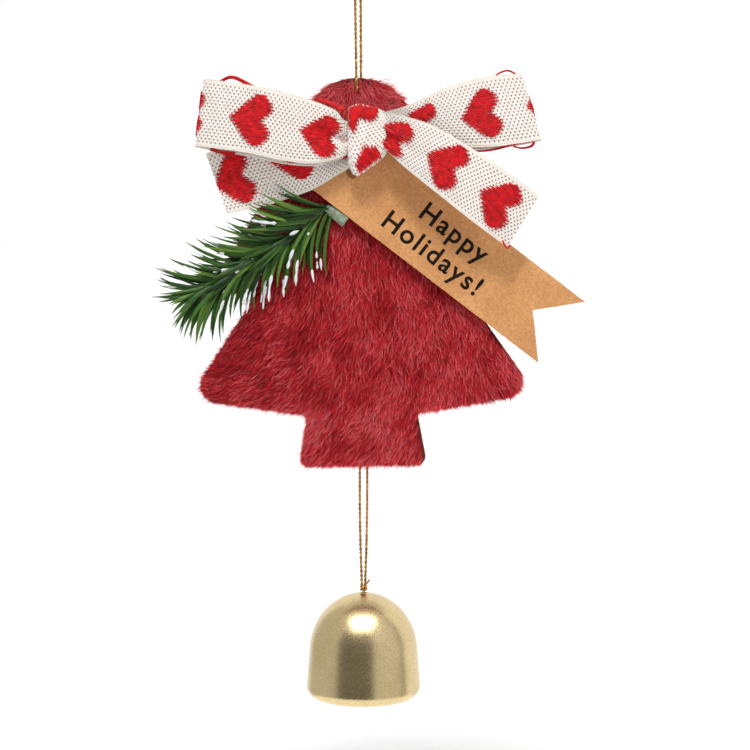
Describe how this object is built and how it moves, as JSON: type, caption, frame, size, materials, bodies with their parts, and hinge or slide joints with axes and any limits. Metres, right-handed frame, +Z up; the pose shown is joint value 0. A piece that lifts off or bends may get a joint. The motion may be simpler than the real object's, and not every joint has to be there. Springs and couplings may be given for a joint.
{
  "type": "hanging bell ornament",
  "caption": "Hanging holiday ornament: a two-tier tree of short red fur with a ribbon bow, card tag and pine sprig, and a small dome bell on a cord below.",
  "frame": {"origin": "where a hook bears inside the top of the hanging loop", "axes": "+Z up, front faces -Y, +X to the viewer's right"},
  "size_m": [0.1305, 0.0352, 0.2429],
  "materials": {
    "gold_cord": "twisted metallic gold thread",
    "board": "raw edge",
    "red_fur": "short combed pile",
    "ribbon": "woven, with red motifs",
    "hot_glue": "clear",
    "kraft_card": "matt brown card",
    "pine_green": "satin moulded plastic",
    "tape_green": "matt tape",
    "snow": "matt flock",
    "bell_brass": "satin plated",
    "wire": "drawn wire",
    "clapper_metal": "turned"
  },
  "bodies": {
    "hanger": {"hanger_cord": "gold_cord", "hanger_end_knot": "gold_cord"},
    "tree": {"tree_core": "board", "fur_front": "red_fur", "fur_back": "red_fur", "bell_cord_anchor_knot": "gold_cord", "bow_knot": "ribbon", "bow_loop_left": "ribbon", "bow_loop_right": "ribbon", "bow_tail_left": "ribbon", "bow_tail_right": "ribbon", "bow_glue": "hot_glue", "tag": "kraft_card", "tag_glue": "hot_glue", "pine_stem": "pine_green", "pine_base_tape": "tape_green", "pine_needles_upper": "pine_green", "pine_needles_lower": "pine_green", "pine_needles_tip": "pine_green", "pine_snow": "snow", "sprig_glue": "hot_glue"},
    "bell_cord": {"bell_cord_left": "gold_cord", "bell_cord_right": "gold_cord", "crown_knot": "gold_cord"},
    "bell": {"bell_shell": "bell_brass", "bell_link_cord": "gold_cord", "inner_stop_knot": "gold_cord", "clapper_loop": "wire"},
    "clapper": {"clapper_wire": "wire", "clapper_ball": "clapper_metal"}
  },
  "joints": [
    {"name": "tree_swing", "type": "hinge", "parent": "hanger", "child": "tree", "pos_m": [-0.0002, 0, -0.0542], "axis": [0, 1, 0], "range_deg": [-25, 25]},
    {"name": "bell_cord_swing", "type": "hinge", "parent": "tree", "child": "bell_cord", "pos_m": [0.0019, 0, -0.17], "axis": [0, 1, 0], "range_deg": [-30, 30]},
    {"name": "bell_swing", "type": "hinge", "parent": "bell_cord", "child": "bell", "pos_m": [0.0019, 0, -0.2088], "axis": [1, 0, 0], "range_deg": [-35, 35]},
    {"name": "clapper_swing", "type": "hinge", "parent": "bell", "child": "clapper", "pos_m": [0.0019, 0, -0.2175], "axis": [0, 1, 0], "range_deg": [-42, 42]}
  ]
}
